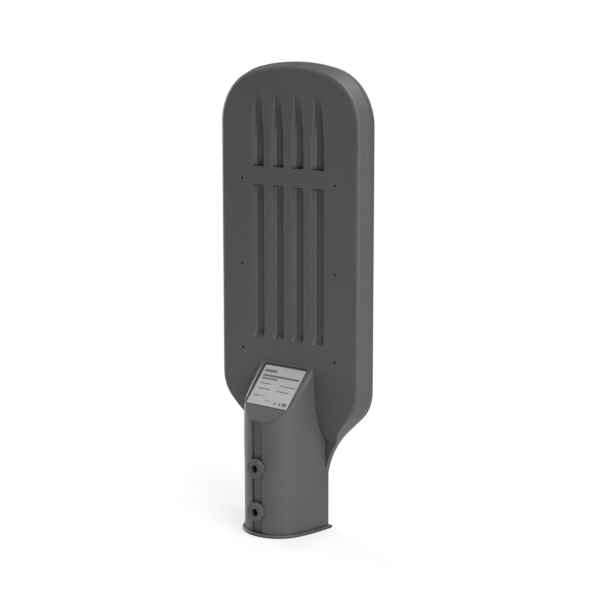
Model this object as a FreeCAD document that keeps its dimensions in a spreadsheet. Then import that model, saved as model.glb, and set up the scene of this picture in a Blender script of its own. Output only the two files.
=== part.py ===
import FreeCAD, Part
import math
import os

import Sketcher
from FreeCAD import Placement, Rotation, Vector

# Cast street light head, standing on the mouth of its pole socket.
# X runs across the head, Y from the grooved back to the lit front, Z from the socket to the tip.
# The origin is on the axis of the socket bore, in the plane of its mouth. Millimetres and degrees.

SIZES = {
    # Outline of the head, seen from the front
    "head_length": 455.0,
    "half_width": 90.0,
    "crown_radius": 204.0,
    "corner_radius": 55.0,
    "shoulder_height": 144.5,
    "shoulder_radius": 38.5,
    "shoulder_angle": 47.0,
    "shoulder_flat": 22.0,
    "waist_sink": 3.3,
    "neck_slope_radius": 70.0,
    "neck_slope_drop": 14.5,
    # Thickness of the head, measured from the bore axis
    "plate_back": 14.5,
    "plate_front": 35.0,
    "rim_band": 7.2,
    "side_draft": 4.5,
    "back_edge_side": 2.7,
    "back_edge_turn": 0.75,
    "back_edge_turn_in": 0.5,
    "back_edge_in": 2.8,
    "front_edge_bevel": 1.2,
    "wall": 3.2,
    # Socket and its mouth
    "socket_half": 37.3,
    "socket_front": 32.2,
    "socket_back": 32.1,
    "side_bow": 4.46,
    "corner_bow": 0.867,
    "back_bow": 1.1,
    "lip_reach": 2.8,
    "lip_thick": 3.0,
    "lip_bevel": 0.8,
    "bore_radius": 26.0,
    "bore_drop": 66.5,
    "relief_radius": 22.0,
    "relief_depth": 6.0,
    "bulkhead": 4.0,
    # Dome between socket and head, with the slanted face for the label
    "neck_drop": 98.5,
    "dome_half": 38.0,
    "dome_drop": 42.5,
    "ramp_rise": 18.5,
    "ramp_half": 34.0,
    "ramp_angle": 42.5,
    "ramp_round": 4.0,
    "flare_share": 0.55,
    "taper_share": 0.36,
    "dome_overrun": 5.6,
    "dome_wall": 4.0,
    "skirt_reach": 1.2,
    "skirt_rise": 1.0,
    "recess_depth": 0.8,
    "recess_margin": 2.2,
    "recess_corner": 4.0,
    "label_width": 51.0,
    "label_height": 44.0,
    "label_thick": 0.3,
    "label_drop": 4.5,
    # Channel and clamp screw bosses on the back of the socket
    "channel_half": 6.0,
    "channel_depth": 2.0,
    "channel_drop": 30.5,
    "boss_radius": 9.4,
    "boss_face": 35.6,
    "clamp_low": 24.2,
    "clamp_pitch": 43.5,
    "clamp_core_radius": 3.4,
    "clamp_mouth_radius": 3.9,
    "clamp_mouth_depth": 1.2,
    # Grooves in the back
    "groove_pitch": 25.0,
    "groove_half": 7.6,
    "groove_draft": 14.0,
    "groove_depth": 5.0,
    "groove_bevel": 1.2,
    "wrap_level_share": 0.25,
    "scoop_square_share": 0.67536,
    "scoop_full_share": 0.78744,
    "scoop_tip_share": 0.90982,
    "slot_square_share": 0.61836,
    "slot_full_share": 0.16135,
    "slot_tip_share": 0.13172,
    # Front cover, its gasket and its screws
    "cover_inset": 4.5,
    "cover_gap": 0.3,
    "cover_thick": 3.0,
    "gasket_thick": 1.5,
    "ledge_inset": 16.5,
    "gasket_inset": 11.8,
    "gasket_foot": 10.0,
    "gasket_gap": 0.3,
    "cover_drop": 60.5,
    "tray_drop": 46.5,
    "cover_screw_inset": 9.0,
    "cover_screw_side_low_share": 0.08213,
    "cover_screw_side_pitch_share": 0.35427,
    "cover_screw_top_half": 30.0,
    "cover_screw_foot_half": 24.0,
    "cover_screw_foot_rise": 7.0,
    "cover_screw_reach": 9.0,
    "window_corner": 6.0,
    # Light source
    "pad_thick": 0.5,
    "pad_from_side": 40.0,
    "board_from_side": 27.0,
    "board_thick": 1.6,
    "board_edge": 7.5,
    "board_screw_from_side": 31.6,
    "board_screw_low_share": 0.08953,
    "board_screw_pitch_share": 0.27214,
    "board_boss_radius": 3.9,
    "board_screw_tip": 3.0,
    "lens_from_side": 37.0,
    "lens_low_share": 0.10145,
    "lens_high_share": 0.65539,
    "lens_thick": 2.0,
    "lens_skirt": 2.0,
    "lens_border": 4.0,
    "lens_gasket_thick": 1.0,
    "bulb_radius": 8.0,
    "bulb_top_radius": 4.2,
    "bulb_height": 5.0,
    "led_pitch_x_share": 0.22642,
    "led_pitch_z_share": 0.11628,
    "led_size": 3.5,
    "led_thick": 0.7,
    "connector_x": 30.0,
    "connector_width": 9.0,
    "connector_long": 8.5,
    "connector_high": 4.5,
    "connector_pole": 4.0,
    # Driver
    "driver_from_side": 64.0,
    "driver_low_drop": 45.5,
    "driver_high_drop": 3.0,
    "driver_back": 2.0,
    "driver_front": 26.4,
    "driver_wall": 1.6,
    "driver_ear_from_side": 41.0,
    "driver_ear_width": 16.0,
    "driver_ear_thick": 2.0,
    "driver_screw_from_side": 45.5,
    "driver_exit_drop": 4.0,
    "driver_exit_pitch": 5.0,
    "stud_radius": 4.5,
    "stud_height": 3.0,
    "circuit_thick": 1.6,
    "circuit_lift": 3.0,
    "circuit_gap": 0.3,
    "transformer_width": 20.0,
    "transformer_long": 18.0,
    "transformer_high": 14.0,
    "capacitor_radius": 5.0,
    "capacitor_high": 15.0,
    # Terminal block and earth point
    "terminal_from_side": 42.0,
    "terminal_width": 16.0,
    "terminal_drop": 14.5,
    "terminal_pitch": 9.0,
    "terminal_high": 13.0,
    "terminal_entry_radius": 1.8,
    "terminal_well_radius": 2.4,
    "terminal_well_depth": 5.0,
    "terminal_screw_high": 3.0,
    "earth_from_side": 34.0,
    "earth_drop": 0.5,
    "earth_lug_thick": 0.8,
    "earth_tail_long": 10.8,
    "earth_tail_width": 3.3,
    "earth_lead_bend": 8.0,
    "earth_lead_slope": 14.0,
    "earth_lead_low": 4.4,
    "earth_washer_thick": 0.8,
    # Cable gland in the bulkhead
    "gland_back": 10.0,
    "gland_thread_radius": 7.5,
    "gland_cable_radius": 4.5,
    "gland_hex_radius": 10.5,
    "gland_hex_high": 5.0,
    "gland_cap_high": 11.0,
    "gland_neck_high": 8.0,
    "gland_seal_thick": 1.3,
    "gland_seal_play": 0.1,
    "gland_seal_drop": 0.5,
    "gland_seal_grip": 1.0,
    "gland_cap_wall": 1.6,
    "gland_cap_gap": 0.2,
    "gland_cap_straight": 6.6,
    "locknut_high": 4.0,
    # Small screws
    "core_small": 1.25,
    "core_medium": 1.65,
    "head_small_radius": 2.8,
    "head_small_high": 2.0,
    "head_medium_radius": 4.0,
    "head_medium_high": 2.6,
    "hole_play": 0.3,
    "thread_play": 0.05,
    # Leads inside the head
    "lead_radius": 1.1,
    "lead_grip": 4.0,
}

LED_COLUMNS = 4
LED_ROWS = 8
GROOVE_PLACES = (-1.5, -0.5, 0.5, 1.5)
SMALL_SIDES = 8
RING_SIDES = 12
MOUTH_SIDES = 18
BEYOND = 500.0
FLAT_WITHIN = 0.01

TO_FRONT = Rotation(Vector(1, 0, 0), -90)
TO_BACK = Rotation(Vector(1, 0, 0), 90)
TO_RIGHT = Rotation(Vector(0, 1, 0), 90)
UPRIGHT = Rotation()

doc = FreeCAD.newDocument("street_light_head")
sheet = doc.addObject("Spreadsheet::Sheet", "Sizes")
for row, (alias, number) in enumerate(SIZES.items(), start=1):
    sheet.set(f"A{row}", alias)
    sheet.set(f"B{row}", str(number))
    sheet.setAlias(f"B{row}", alias)
doc.recompute()


class Size(float):
    """A number that remembers the sheet expression it came from."""

    def __new__(cls, value, text):
        size = super().__new__(cls, value)
        size.text = text
        return size

    def __add__(self, other):
        return Size(float(self) + other, f"({self.text} + {text_of(other)})")

    def __radd__(self, other):
        return Size(other + float(self), f"({text_of(other)} + {self.text})")

    def __sub__(self, other):
        return Size(float(self) - other, f"({self.text} - {text_of(other)})")

    def __rsub__(self, other):
        return Size(other - float(self), f"({text_of(other)} - {self.text})")

    def __mul__(self, other):
        return Size(float(self) * other, f"({self.text} * {text_of(other)})")

    def __rmul__(self, other):
        return Size(other * float(self), f"({text_of(other)} * {self.text})")

    def __truediv__(self, other):
        return Size(float(self) / other, f"({self.text} / {text_of(other)})")

    def __neg__(self):
        return Size(-float(self), f"(-{self.text})")


def text_of(value):
    return value.text if isinstance(value, Size) else repr(float(value))


class Sizes:
    """The sheet's sizes by name."""

    def __getattr__(self, name):
        return Size(sheet.get(name), f"Sizes.{name}")


size = Sizes()


# Places that several pieces share

ramp_top = size.shoulder_height + size.ramp_rise
slope_start = size.shoulder_height - size.neck_slope_drop
dome_height = size.shoulder_height - size.dome_drop
tray_low = size.shoulder_height - size.tray_drop
cover_low = size.shoulder_height - size.cover_drop
driver_low = size.shoulder_height - size.driver_low_drop
driver_high = size.shoulder_height - size.driver_high_drop
terminal_low = size.shoulder_height - size.terminal_drop
earth_z = size.shoulder_height - size.earth_drop
bore_depth = size.shoulder_height - size.bore_drop
neck_height = size.shoulder_height - size.neck_drop
channel_top = size.shoulder_height - size.channel_drop
plate_run = size.head_length - size.shoulder_height
scoop_square = size.shoulder_height + plate_run * size.scoop_square_share
scoop_full = size.shoulder_height + plate_run * size.scoop_full_share
scoop_tip = size.shoulder_height + plate_run * size.scoop_tip_share
slot_square = size.shoulder_height + plate_run * size.slot_square_share
slot_full = size.shoulder_height + plate_run * size.slot_full_share
slot_tip = size.shoulder_height + plate_run * size.slot_tip_share
board_screw_low = size.shoulder_height + plate_run * size.board_screw_low_share
lens_low = size.shoulder_height + plate_run * size.lens_low_share
lens_high = size.shoulder_height + plate_run * size.lens_high_share
cover_screw_side_low = size.shoulder_height + plate_run * size.cover_screw_side_low_share
board_screw_pitch = plate_run * size.board_screw_pitch_share
cover_screw_side_pitch = plate_run * size.cover_screw_side_pitch_share
driver_half = size.half_width - size.driver_from_side
driver_ear_half = size.half_width - size.driver_ear_from_side
driver_screw_half = size.half_width - size.driver_screw_from_side
board_half = size.half_width - size.board_from_side
pad_half = size.half_width - size.pad_from_side
lens_half = size.half_width - size.lens_from_side
board_screw_half = size.half_width - size.board_screw_from_side
led_pitch_x = 2 * lens_half * size.led_pitch_x_share
led_pitch_z = (lens_high - lens_low) * size.led_pitch_z_share
tray_floor = size.plate_back + size.wall
seat = size.plate_back + size.groove_depth + size.wall
ledge = size.plate_front - size.cover_thick - size.gasket_thick
cover_back = size.plate_front - size.cover_thick
board_back = seat + size.pad_thick
board_front = board_back + size.board_thick
board_low = board_screw_low - size.board_edge
board_high = board_screw_low + 2 * board_screw_pitch + size.board_edge
lens_back = cover_back - size.lens_gasket_thick - size.lens_thick
window_half = lens_half - size.lens_border
window_low = lens_low + size.lens_border
window_high = lens_high - size.lens_border
bulkhead_low = bore_depth + size.relief_depth
chamber_low = bulkhead_low + size.bulkhead
stud_top = tray_floor + size.stud_height
ear_front = stud_top + size.driver_ear_thick
driver_middle = (driver_low + driver_high) / 2
terminal_left = size.half_width - size.terminal_from_side
earth_x = size.earth_from_side - size.half_width
clamp_heights = (size.clamp_low, size.clamp_low + size.clamp_pitch)
board_screw_heights = [board_screw_low + step * board_screw_pitch for step in range(3)]


# Document helpers


def bind(item, name, value):
    """Tie one property of an object to the sheet."""
    item.setExpression(name, text_of(value))


def place(item, x, y, z, turn=UPRIGHT):
    """Put an object at a point and tie each coordinate to the sheet."""
    item.Placement = Placement(Vector(x, y, z), turn)
    for axis, value in (("x", x), ("y", y), ("z", z)):
        if isinstance(value, Size):
            bind(item, f"Placement.Base.{axis}", value)


def cylinder(name, radius, length, x, y, z, turn=UPRIGHT):
    item = doc.addObject("Part::Cylinder", name)
    bind(item, "Radius", radius)
    bind(item, "Height", length)
    place(item, x, y, z, turn)
    return item


def box(name, width, depth, height, x, y, z, turn=UPRIGHT):
    item = doc.addObject("Part::Box", name)
    bind(item, "Length", width)
    bind(item, "Width", depth)
    bind(item, "Height", height)
    place(item, x, y, z, turn)
    return item


def prism(name, sides, radius, height, x, y, z, turn=UPRIGHT):
    """A bar with equal flat sides, also for round pieces that are too small to be cut round."""
    item = doc.addObject("Part::Prism", name)
    item.Polygon = sides
    bind(item, "Circumradius", radius)
    bind(item, "Height", height)
    place(item, x, y, z, turn)
    return item


def fused(name, items):
    item = doc.addObject("Part::MultiFuse", name)
    item.Shapes = items
    item.Refine = True
    return item


def cut(name, base, tool):
    item = doc.addObject("Part::Cut", name)
    item.Base = base
    item.Tool = tool
    item.Refine = True
    return item


def feature(name, shape):
    item = doc.addObject("Part::Feature", name)
    item.Shape = shape
    item.Placement = Placement()
    return item


# PartDesign helpers


def new_body(name):
    return doc.addObject("PartDesign::Body", name)


def new_sketch(body, name, role, lift=0.0):
    """A sketch on one of the body's own origin planes, lifted along the plane's normal."""
    sketch = body.newObject("Sketcher::SketchObject", name)
    plane = next(item for item in body.Origin.OriginFeatures if item.Role == role)
    sketch.AttachmentSupport = [(plane, "")]
    sketch.MapMode = "FlatFace"
    if isinstance(lift, Size):
        bind(sketch, "AttachmentOffset.Base.z", lift)
    return sketch


def tie_point(sketch, geometry, point, x, y):
    """Fix one point of a sketch to coordinates of the sheet."""
    for kind, value, axis in (("DistanceX", x, -2), ("DistanceY", y, -1)):
        if isinstance(value, Size):
            number = sketch.addConstraint(Sketcher.Constraint(kind, -1, 1, geometry, point, float(value)))
            sketch.setExpression(f"Constraints[{number}]", value.text)
        elif value == 0:
            sketch.addConstraint(Sketcher.Constraint("PointOnObject", geometry, point, axis))
        else:
            sketch.addConstraint(Sketcher.Constraint(kind, -1, 1, geometry, point, float(value)))


def draw_polygon(sketch, corners):
    """A closed run of straight lines, each corner tied to the sheet."""
    first = sketch.GeometryCount
    count = len(corners)
    points = [Vector(x, y, 0) for x, y in corners]
    for index, point in enumerate(points):
        sketch.addGeometry(Part.LineSegment(point, points[(index + 1) % count]), False)
    for index, (x, y) in enumerate(corners):
        line = first + index
        previous = first + (index - 1) % count
        sketch.addConstraint(Sketcher.Constraint("Coincident", previous, 2, line, 1))
        tie_point(sketch, line, 1, x, y)


def draw_rectangle(sketch, left, low, right, high):
    draw_polygon(sketch, [(left, low), (right, low), (right, high), (left, high)])


def pad(body, sketch, length):
    """Raise a sketch of the XZ plane towards the front."""
    item = body.newObject("PartDesign::Pad", f"{sketch.Name}_pad")
    item.Profile = sketch
    item.Reversed = True
    bind(item, "Length", length)
    body.Tip = item
    return item


def pocket(body, sketch, length):
    """Sink a sketch of the XZ plane towards the front."""
    item = body.newObject("PartDesign::Pocket", f"{sketch.Name}_pocket")
    item.Profile = sketch
    item.Reversed = False
    bind(item, "Length", length)
    body.Tip = item
    return item


def edges_towards_front(item):
    """Names of the straight edges that run along Y."""
    doc.recompute()
    names = []
    for number, edge in enumerate(item.Shape.Edges, start=1):
        along = edge.Vertexes[-1].Point - edge.Vertexes[0].Point
        straight = isinstance(edge.Curve, Part.Line)
        if straight and abs(along.x) < 1e-6 and abs(along.z) < 1e-6:
            names.append(f"Edge{number}")
    return names


def plate_body(name, left, low, right, high, back, thick, corner=None):
    """A flat plate facing the front, with rounded corners if a radius is given."""
    body = new_body(name)
    outline = new_sketch(body, f"{name}_outline", "XZ_Plane", -back)
    draw_rectangle(outline, left, low, right, high)
    plate = pad(body, outline, thick)
    if corner is not None:
        rounds = body.newObject("PartDesign::Fillet", f"{name}_corners")
        rounds.Base = (plate, edges_towards_front(plate))
        bind(rounds, "Radius", corner)
        body.Tip = rounds
    return body


def small_screw(name, head_radius, head_high, core_radius, length):
    """A screw whose head sits on its Z = 0 plane and whose shank runs down from it."""
    head = prism(f"{name}_head", SMALL_SIDES, head_radius, head_high, 0, 0, 0)
    shank = prism(f"{name}_shank", SMALL_SIDES, core_radius - size.thread_play, length, 0, 0, -length)
    return fused(name, [head, shank])


def copies(name, pattern, points, turn):
    """One node of identical separate solids, each a copy of a pattern body."""
    doc.recompute()
    solids = []
    for point in points:
        solid = pattern.Shape.copy()
        solid.Placement = Placement(Vector(*point), turn)
        solids.append(solid)
    return feature(name, Part.makeCompound(solids))


# Outline of the head


def arc(centre_x, centre_z, radius, start, end, depth):
    """Arc in the plane Y = depth, between two angles measured from +X towards +Z."""
    points = []
    for angle in (start, (start + end) / 2, end):
        points.append(Vector(centre_x + radius * math.cos(angle), depth, centre_z + radius * math.sin(angle)))
    return Part.Arc(*points).toShape()


def mirrored(edge):
    return edge.mirror(Vector(0, 0, 0), Vector(1, 0, 0))


def line(start, end):
    return Part.LineSegment(start, end).toShape()


def outline_centres():
    """Centres and turning angles of the arcs that make the head's right half, crown first."""
    crown_z = size.head_length - size.crown_radius
    corner_x = size.half_width - size.corner_radius
    corner_z = crown_z + math.sqrt((size.crown_radius - size.corner_radius) ** 2 - corner_x**2)
    corner_angle = math.atan2(corner_z - crown_z, corner_x)
    shoulder_x = size.half_width - size.shoulder_radius
    turn = math.radians(size.shoulder_angle)
    flat_x = shoulder_x + size.shoulder_radius * math.cos(turn) - size.shoulder_flat * math.sin(turn)
    drop = size.shoulder_radius * math.sin(turn) + size.shoulder_flat * math.cos(turn)
    flat_z = size.shoulder_height - drop
    waist_half = size.socket_half - size.waist_sink
    waist_radius = (flat_x - waist_half) / (1 - math.cos(turn))
    waist_x = waist_half + waist_radius
    waist_z = flat_z - waist_radius * math.sin(turn)
    return crown_z, corner_x, corner_z, corner_angle, shoulder_x, turn, waist_x, waist_z, waist_radius


def head_outline(inset, depth, low=None):
    """Closed outline of the head, moved inwards by inset and cut straight across at a height."""
    centres = outline_centres()
    crown_z, corner_x, corner_z, corner_angle, shoulder_x, turn, waist_x, waist_z, waist_radius = centres
    side = size.half_width - inset
    waist = waist_radius + inset
    foot = waist_z if low is None else float(low)
    foot_angle = math.pi - math.asin((foot - waist_z) / waist)
    right = [
        arc(0, crown_z, size.crown_radius - inset, math.pi / 2, corner_angle, depth),
        arc(corner_x, corner_z, size.corner_radius - inset, corner_angle, 0, depth),
        line(Vector(side, depth, corner_z), Vector(side, depth, size.shoulder_height)),
        arc(shoulder_x, size.shoulder_height, size.shoulder_radius - inset, 0, -turn, depth),
    ]
    shoulder_end = right[-1].Vertexes
    lowest = min(shoulder_end, key=lambda vertex: vertex.Z).Point
    waist_arc = arc(waist_x, waist_z, waist, math.pi - turn, foot_angle, depth)
    waist_start = max(waist_arc.Vertexes, key=lambda vertex: vertex.Z).Point
    waist_end = min(waist_arc.Vertexes, key=lambda vertex: vertex.Z).Point
    right.append(line(lowest, waist_start))
    right.append(waist_arc)
    left = [mirrored(edge) for edge in right]
    across = line(waist_end, Vector(-waist_end.x, depth, waist_end.z))
    return Part.Wire(Part.__sortEdges__(right + [across] + left))


def head_slab(inset, back, front, low=None):
    """Flat slice of the head between two depths."""
    wire = head_outline(inset, float(back), low)
    return Part.Face(wire).extrude(Vector(0, float(front - back), 0))


def rounded_edges(shape, radius, wanted):
    """Round the edges of a shape that a test picks."""
    edges = [edge for edge in shape.Edges if wanted(edge)]
    return shape.makeFillet(float(radius), edges)


def bevelled_edges(shape, reach, wanted):
    """Bevel the edges of a shape that a test picks."""
    edges = [edge for edge in shape.Edges if wanted(edge)]
    return shape.makeChamfer(float(reach), edges)


def ring_of_corners(x, y, z, radius, sides):
    """Corners of an even polygon that faces the front, the first one again at the end."""
    turns = [2 * math.pi * (step + 0.5) / sides for step in range(sides + 1)]
    return [Vector(x + radius * math.cos(turn), y, z + radius * math.sin(turn)) for turn in turns]


def post(x, z, radius, top):
    """A many-sided post that stands on the casting's back and ends at a depth."""
    ring = Part.makePolygon(ring_of_corners(x, size.plate_back, z, radius, SMALL_SIDES))
    return Part.Face(ring).extrude(Vector(0, top - size.plate_back, 0))


def lies_at_depth(edge, depth):
    return all(abs(vertex.Y - depth) < 1e-4 for vertex in edge.Vertexes)


# Sections of the socket and the dome


def d_section(height, half, back, front, inset=0.0):
    """Closed D: flat towards the front, and tangent arcs for the sides, the corners and the back."""
    side = half * size.side_bow
    corner = half * size.corner_bow
    rear = half * size.back_bow
    side_centre = Vector(half - side, front, height)
    rear_centre = Vector(0, rear - back, height)
    span = rear_centre - side_centre
    along = ((side - corner) ** 2 - (rear - corner) ** 2 + span.Length**2) / (2 * span.Length)
    across = math.sqrt((side - corner) ** 2 - along**2)
    ahead = Vector(span).normalize()
    corner_centre = side_centre + ahead * along + Vector(ahead.y, -ahead.x, 0) * across
    turns = [0.0]
    for centre in (side_centre, rear_centre):
        toward = corner_centre - centre
        turns.append(math.atan2(toward.y, toward.x))
    turns.append(-math.pi / 2)
    right = []
    for centre, radius, start, end in zip((side_centre, corner_centre, rear_centre), (side, corner, rear),
                                          turns, turns[1:]):
        points = [centre + Vector(math.cos(angle), math.sin(angle), 0) * (radius - inset)
                  for angle in (start, (start + end) / 2, end)]
        right.append(Part.Arc(*points).toShape())
    left = [mirrored(edge) for edge in right]
    closing = line(Vector(inset - half, front, height), Vector(half - inset, front, height))
    return Part.Wire(Part.__sortEdges__(right + left + [closing]))


def dome_stations():
    """Heights and half widths of the dome's sections, from the socket to above the slanted face."""
    taper = (size.dome_half - size.ramp_half) / (ramp_top - dome_height)
    above = ramp_top + size.dome_overrun
    rise = above - dome_height
    middle = (neck_height + dome_height) / 2
    stations = [
        (neck_height, size.socket_half),
        (middle, size.socket_half + (size.dome_half - size.socket_half) * size.flare_share),
        (dome_height, size.dome_half),
        (dome_height + rise / 2, size.dome_half - taper * rise * size.taper_share),
        (above, size.dome_half - taper * rise),
    ]
    return [(float(height), float(half)) for height, half in stations]


def above_ramp(sunk=0.0):
    """Everything outside the slanted face, or outside a plane sunk below it."""
    slope = math.radians(size.ramp_angle)
    normal = Vector(0, -math.cos(slope), math.sin(slope))
    block = Part.makeBox(BEYOND, BEYOND, BEYOND, Vector(-BEYOND / 2, -BEYOND / 2, 0))
    foot = Vector(0, size.plate_back, ramp_top) - normal * sunk
    block.Placement = Placement(foot, Rotation(Vector(0, 0, 1), normal))
    return block


def on_ramp(edge):
    """True for the curved edge that the slanted face leaves on the dome."""
    slope = math.radians(size.ramp_angle)
    normal = Vector(0, -math.cos(slope), math.sin(slope))
    foot = Vector(0, size.plate_back, ramp_top)
    middle = edge.valueAt((edge.FirstParameter + edge.LastParameter) / 2)
    points = [vertex.Point for vertex in edge.Vertexes] + [middle]
    flat = all(abs((point - foot).dot(normal)) < FLAT_WITHIN for point in points)
    return flat and not isinstance(edge.Curve, Part.Line)


def ramp_frame(down, lift=0.0):
    """Placement on the slanted face, its Y axis up the slope and its Z axis out of it."""
    slope = math.radians(size.ramp_angle)
    normal = Vector(0, -math.cos(slope), math.sin(slope))
    along = Vector(0, -math.sin(slope), -math.cos(slope))
    base = Vector(0, size.plate_back, ramp_top) + along * down + normal * lift
    return Placement(base, Rotation(Vector(1, 0, 0), 90 - size.ramp_angle))


# Grooves of the back


def groove_section(x, height, grow=0.0):
    """Section of a groove at one height, or of the wall that wraps it, open past the back face."""
    lean = math.tan(math.radians(size.groove_draft))
    above = size.groove_depth * 0.6
    floor = size.plate_back + size.groove_depth + grow
    top = size.plate_back - above
    floor_half = size.groove_half - size.groove_depth * lean + grow
    top_half = floor_half + (floor - top) * lean
    if grow:
        corners = [(-top_half, top), (-floor_half, floor), (floor_half, floor), (top_half, top)]
        points = [Vector(x + across, depth, height) for across, depth in corners]
        return Part.Face(Part.makePolygon(points + points[:1]))
    bevel = float(size.groove_bevel)
    corners = [(-top_half, top), (-floor_half - bevel * lean, floor - bevel), (bevel - floor_half, floor),
               (floor_half - bevel, floor), (floor_half + bevel * lean, floor - bevel), (top_half, top)]
    points = [Vector(x + across, depth, height) for across, depth in corners]
    return Part.Face(Part.makePolygon(points + points[:1]))


def groove(x, square_end, full_end, tip):
    """One groove: square at one end, and swept up to the surface on an arc at the other."""
    up = 1 if tip > full_end else -1
    run = abs(tip - full_end)
    radius = (run**2 + size.groove_depth**2) / (2 * size.groove_depth)
    centre_y = size.plate_back + size.groove_depth - radius
    straight = groove_section(x, float(square_end)).extrude(Vector(0, 0, float(full_end - square_end)))
    leave = math.degrees(math.acos((radius - size.groove_depth) / radius)) + 2
    swept = groove_section(x, float(full_end))
    swept = swept.revolve(Vector(0, centre_y, full_end), Vector(1, 0, 0), up * leave)
    return straight.fuse(swept).removeSplitter()


def groove_wrap(x, square_end, full_end, tip):
    """The wall that wraps one groove on the inside: straight, then down a plain slope."""
    run = tip - full_end
    grow = math.copysign(size.wall, run)
    start = square_end - grow
    level = full_end + run * size.wrap_level_share
    outer = float(tip + run * size.wrap_level_share)
    sections = [groove_section(x, float(start), size.wall), groove_section(x, float(level), size.wall)]
    low = groove_section(x, outer, size.wall)
    low.Placement = Placement(Vector(0, -float(size.groove_depth), 0), UPRIGHT)
    straight = sections[0].extrude(Vector(0, 0, float(level - start)))
    slope = Part.makeLoft([sections[1].OuterWire, low.OuterWire], True, True)
    return straight.fuse(slope).removeSplitter()


def groove_rows(shaped):
    """One solid per groove of both rows, made by a function such as groove."""
    rows = []
    for step in GROOVE_PLACES:
        x = float(step * size.groove_pitch)
        rows.append(shaped(x, scoop_square, scoop_full, scoop_tip))
        rows.append(shaped(x, slot_square, slot_full, slot_tip))
    return rows


# The casting


def cover_screw_points():
    """Places of the front cover's screws, along a line inside the head's edge."""
    crown_z, corner_x, corner_z, corner_angle, shoulder_x, turn = outline_centres()[:6]
    inset = size.cover_screw_inset
    top_x = size.cover_screw_top_half
    top_z = crown_z + math.sqrt((size.crown_radius - inset) ** 2 - top_x**2)
    reach = size.shoulder_radius - inset
    shoulder = (shoulder_x + reach * math.cos(turn), size.shoulder_height - reach * math.sin(turn))
    foot = (size.cover_screw_foot_half, cover_low + size.cover_screw_foot_rise)
    right = [(size.half_width - inset, cover_screw_side_low + step * cover_screw_side_pitch)
             for step in range(3)]
    right += [(top_x, top_z), shoulder, foot]
    return [(float(hand * x), float(z)) for x, z in right for hand in (-1, 1)]


def neck_round(grow=0.0):
    """Drum whose surface is the head's back below the slope's start; the head lies inside it."""
    radius = size.neck_slope_radius + grow
    axis = Vector(-BEYOND / 2, size.plate_back + size.neck_slope_radius, slope_start)
    return Part.makeCylinder(radius, BEYOND, axis, Vector(1, 0, 0))


def behind_neck(front, grow=0.0):
    """Everything behind the sloping lower part of the head, as far as a depth."""
    block = Part.makeBox(BEYOND, BEYOND, slope_start, Vector(-BEYOND / 2, front - BEYOND, 0))
    return block.cut(neck_round(grow))


def head_plate():
    """The flat head: straight rim band, drafted back and a back edge turned in two bevels."""
    rim = size.plate_front - size.rim_band
    drop = rim - size.plate_back
    side_share = 1 - size.back_edge_side / drop
    outlines = [
        head_outline(0.0, float(rim)),
        head_outline(size.side_draft * side_share, float(size.plate_back + size.back_edge_side)),
        head_outline(size.side_draft + size.back_edge_turn_in, float(size.plate_back + size.back_edge_turn)),
        head_outline(size.side_draft + size.back_edge_in, float(size.plate_back)),
    ]
    back = Part.makeLoft(outlines, True, True)
    band = head_slab(0.0, rim, size.plate_front)
    foot = min(vertex.Z for vertex in band.Vertexes) + 0.01
    front = bevelled_edges(band, size.front_edge_bevel,
                           lambda edge: lies_at_depth(edge, size.plate_front)
                           and max(vertex.Z for vertex in edge.Vertexes) > foot)
    return back.cut(behind_neck(float(rim))).fuse(front)


def socket_and_dome():
    """D section socket, flaring into the dome that the slanted face cuts."""
    stations = dome_stations()
    sections = [d_section(height, half, size.socket_back, size.socket_front) for height, half in stations]
    dome = Part.makeLoft(sections, True, False)
    dome = dome.cut(above_ramp())
    dome = rounded_edges(dome, size.ramp_round, on_ramp)
    base = d_section(0.0, size.socket_half, size.socket_back, size.socket_front)
    socket = Part.Face(base).extrude(Vector(0, 0, neck_height))
    lip_top = float(size.lip_thick)
    bevel = float(size.lip_bevel)
    rims = []
    for height, reach in ((0.0, size.lip_reach - bevel), (bevel, size.lip_reach),
                          (lip_top - bevel, size.lip_reach), (lip_top, size.lip_reach - bevel)):
        rims.append(d_section(height, size.socket_half + reach, size.socket_back + reach,
                              size.socket_front + reach))
    lip = Part.makeLoft(rims, True, True)
    channel = Part.makeBox(2 * size.channel_half, BEYOND, channel_top,
                           Vector(-size.channel_half, size.channel_depth - size.socket_back - BEYOND, 0))
    shape = dome.fuse(socket).cut(channel).fuse(lip)
    depth = size.boss_face - size.bore_radius + size.wall
    for height in clamp_heights:
        shape = shape.fuse(Part.makeCylinder(size.boss_radius, depth, Vector(0, -size.boss_face, height),
                                             Vector(0, 1, 0)))
    return shape


def dome_skirt():
    """Low step round the foot of the dome, where it stands on the head's back."""
    sections = [d_section(height, half + size.skirt_reach, size.socket_back, size.socket_front)
                for height, half in dome_stations()]
    skirt = Part.makeLoft(sections, True, False)
    rim = float(size.plate_front - size.rim_band)
    reach = Part.makeBox(BEYOND, rim - size.plate_back + size.skirt_rise, ramp_top - neck_height,
                         Vector(-BEYOND / 2, size.plate_back - size.skirt_rise, neck_height))
    upper = Part.makeBox(BEYOND, size.wall, ramp_top, Vector(-BEYOND / 2, tray_floor, slope_start))
    skirt = skirt.common(reach).cut(above_ramp())
    return skirt.cut(behind_neck(rim, float(size.skirt_rise))).cut(upper)


def label_recess():
    """Shallow panel in the slanted face, a little larger than the label."""
    margin = size.recess_margin
    width = size.label_width + 2 * margin
    height = size.label_height + 2 * margin
    panel = Part.makeBox(width, height, BEYOND, Vector(-width / 2, -height, 0))
    panel = rounded_edges(panel, size.recess_corner,
                          lambda edge: abs(edge.Vertexes[0].Z - edge.Vertexes[-1].Z) > 1)
    panel.Placement = ramp_frame(size.label_drop - margin, -size.recess_depth)
    return panel


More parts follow.
